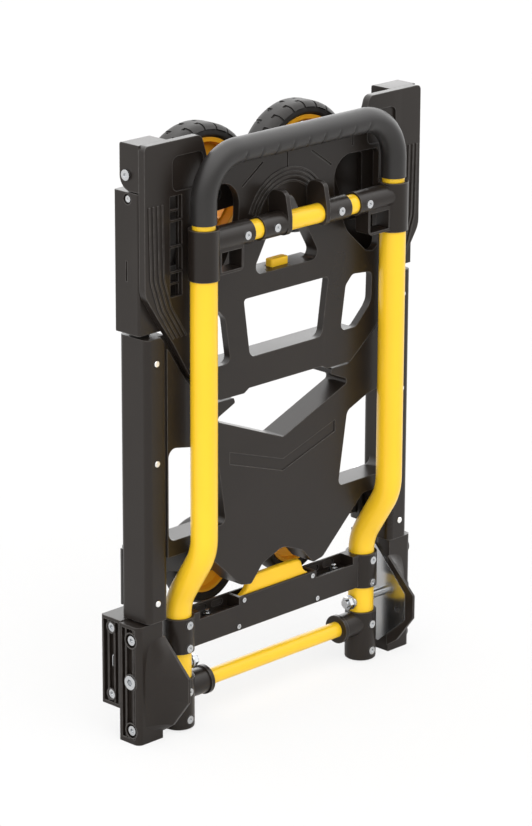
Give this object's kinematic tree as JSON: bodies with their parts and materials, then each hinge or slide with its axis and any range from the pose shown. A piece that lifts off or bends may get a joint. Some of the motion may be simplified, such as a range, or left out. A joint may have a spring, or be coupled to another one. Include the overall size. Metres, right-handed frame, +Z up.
{
  "type": "folding hand truck",
  "caption": "Folding hand truck stored flat on end: telescoping loop handle on bent legs, ribbed deck and toe plate, fold-in wheels and swivel castors.",
  "frame": {"origin": "on the floor, midway between the corner blocks, in the plane of the handle's pivot axis", "axes": "+X to the right seen from the handle side, +Y to the wheel side, +Z up along the handle"},
  "size_m": [0.446, 0.1237, 0.679],
  "materials": {
    "black_plastic": "fine moulded grain, satin",
    "yellow_tube": "glossy powder coat",
    "yellow_plastic": "smooth moulded",
    "yellow_rim": "smooth moulded",
    "tyre": "dull moulded rubber",
    "grip_rubber": "soft moulded rubber",
    "zinc": "bright zinc plating",
    "rivet": "bright rivet heads",
    "frame_steel": "black paint"
  },
  "bodies": {
    "frame": {"deck_panel": "black_plastic", "rail_tubes": "frame_steel", "rail_rivets": "rivet", "left_corner_block": "black_plastic", "right_corner_block": "black_plastic", "left_rear_block": "black_plastic", "right_rear_block": "black_plastic", "pivot_plates": "zinc", "pivot_bolts": "zinc", "pivot_nuts": "zinc", "frame_bolts": "zinc", "castor_mounts": "frame_steel", "castor_pins": "zinc", "toe_hinge_pins": "zinc", "left_wheel_cover": "black_plastic", "right_wheel_cover": "black_plastic"},
    "toe_plate": {"toe_plate": "black_plastic", "left_hinge_block": "black_plastic", "right_hinge_block": "black_plastic", "latch_spring": "zinc"},
    "latch_button": {"latch_button": "yellow_plastic"},
    "handle": {"left_leg": "yellow_tube", "right_leg": "yellow_tube", "left_collar": "black_plastic", "right_collar": "black_plastic", "cross_tube": "yellow_tube", "handle_screws": "zinc", "left_upper_boot": "black_plastic", "right_upper_boot": "black_plastic", "cross_channel": "black_plastic", "left_lower_boot": "black_plastic", "right_lower_boot": "black_plastic", "pivot_bushes": "zinc", "foot_bar": "yellow_tube", "pedal_pin": "zinc"},
    "pedal": {"release_pedal": "yellow_plastic"},
    "grip_frame": {"inner_tube": "yellow_tube", "grip": "grip_rubber"},
    "left_release": {"left_release_slide": "black_plastic", "left_lock_pin": "zinc"},
    "left_wheel_bracket": {"left_wheel_arm": "black_plastic", "left_wheel_axle": "zinc"},
    "left_wheel": {"left_wheel_rim": "yellow_rim", "left_wheel_tyre": "tyre"},
    "left_castor_bracket": {"left_castor_arm": "frame_steel"},
    "left_castor_fork": {"left_castor_fork": "frame_steel", "left_castor_axle": "zinc"},
    "left_castor_wheel": {"left_castor_rim": "yellow_rim", "left_castor_tyre": "tyre"},
    "right_release": {"right_release_slide": "black_plastic", "right_lock_pin": "zinc"},
    "right_wheel_bracket": {"right_wheel_arm": "black_plastic", "right_wheel_axle": "zinc"},
    "right_wheel": {"right_wheel_rim": "yellow_rim", "right_wheel_tyre": "tyre"},
    "right_castor_bracket": {"right_castor_arm": "frame_steel"},
    "right_castor_fork": {"right_castor_fork": "frame_steel", "right_castor_axle": "zinc"},
    "right_castor_wheel": {"right_castor_rim": "yellow_rim", "right_castor_tyre": "tyre"}
  },
  "joints": [
    {"name": "handle_swing", "type": "hinge", "parent": "frame", "child": "handle", "pos_m": [0, 0, 0.073], "axis": [1, 0, 0], "range_deg": [0, 180]},
    {"name": "grip_slide", "type": "slide", "parent": "handle", "child": "grip_frame", "axis": [0, 0, 1], "range_m": [0, 0.24]},
    {"name": "toe_plate_fold", "type": "hinge", "parent": "frame", "child": "toe_plate", "pos_m": [0, 0.006, 0.645], "axis": [-1, 0, 0], "range_deg": [0, 90]},
    {"name": "latch_press", "type": "slide", "parent": "toe_plate", "child": "latch_button", "axis": [0, 0, -1], "range_m": [0, 0.004], "stiffness_N_per_m": 600, "springref_m": -0.002, "deforming": ["latch_spring"]},
    {"name": "pedal_press", "type": "hinge", "parent": "handle", "child": "pedal", "pos_m": [0, -0.0019, 0.106], "axis": [-1, 0, 0], "range_deg": [0, 10], "stiffness_Nm_per_rad": 3, "springref_deg": -8.59},
    {"name": "left_release_slide", "type": "slide", "parent": "handle", "child": "left_release", "axis": [1, 0, 0], "range_m": [0, 0.012], "stiffness_N_per_m": 500, "springref_m": -0.004},
    {"name": "left_wheel_fold", "type": "hinge", "parent": "frame", "child": "left_wheel_bracket", "pos_m": [-0.195, 0.01, 0.548], "axis": [0, 0, 1], "range_deg": [0, 90]},
    {"name": "left_wheel_spin", "type": "hinge", "parent": "left_wheel_bracket", "child": "left_wheel", "pos_m": [-0.078, 0.0445, 0.598], "axis": [0, 1, 0], "continuous": true},
    {"name": "left_castor_fold", "type": "hinge", "parent": "frame", "child": "left_castor_bracket", "pos_m": [-0.184, 0.038, 0.185], "axis": [0, 0, 1], "range_deg": [0, 90]},
    {"name": "left_castor_swivel", "type": "hinge", "parent": "left_castor_bracket", "child": "left_castor_fork", "pos_m": [-0.143, 0.045, 0.193], "axis": [1, 0, 0], "range_deg": [0, 180]},
    {"name": "left_castor_spin", "type": "hinge", "parent": "left_castor_fork", "child": "left_castor_wheel", "pos_m": [-0.07, 0.045, 0.168], "axis": [0, 1, 0], "continuous": true},
    {"name": "right_release_slide", "type": "slide", "parent": "handle", "child": "right_release", "axis": [-1, 0, 0], "range_m": [0, 0.012], "stiffness_N_per_m": 500, "springref_m": -0.004},
    {"name": "right_wheel_fold", "type": "hinge", "parent": "frame", "child": "right_wheel_bracket", "pos_m": [0.195, 0.01, 0.548], "axis": [0, 0, -1], "range_deg": [0, 90]},
    {"name": "right_wheel_spin", "type": "hinge", "parent": "right_wheel_bracket", "child": "right_wheel", "pos_m": [0.078, 0.0445, 0.598], "axis": [0, 1, 0], "continuous": true},
    {"name": "right_castor_fold", "type": "hinge", "parent": "frame", "child": "right_castor_bracket", "pos_m": [0.184, 0.038, 0.185], "axis": [0, 0, -1], "range_deg": [0, 90]},
    {"name": "right_castor_swivel", "type": "hinge", "parent": "right_castor_bracket", "child": "right_castor_fork", "pos_m": [0.143, 0.045, 0.193], "axis": [1, 0, 0], "range_deg": [0, 180]},
    {"name": "right_castor_spin", "type": "hinge", "parent": "right_castor_fork", "child": "right_castor_wheel", "pos_m": [0.07, 0.045, 0.168], "axis": [0, 1, 0], "continuous": true}
  ],
  "couplings": [
    {"joint": "toe_plate_fold", "follows": "handle_swing", "ratio": 0.5}
  ]
}
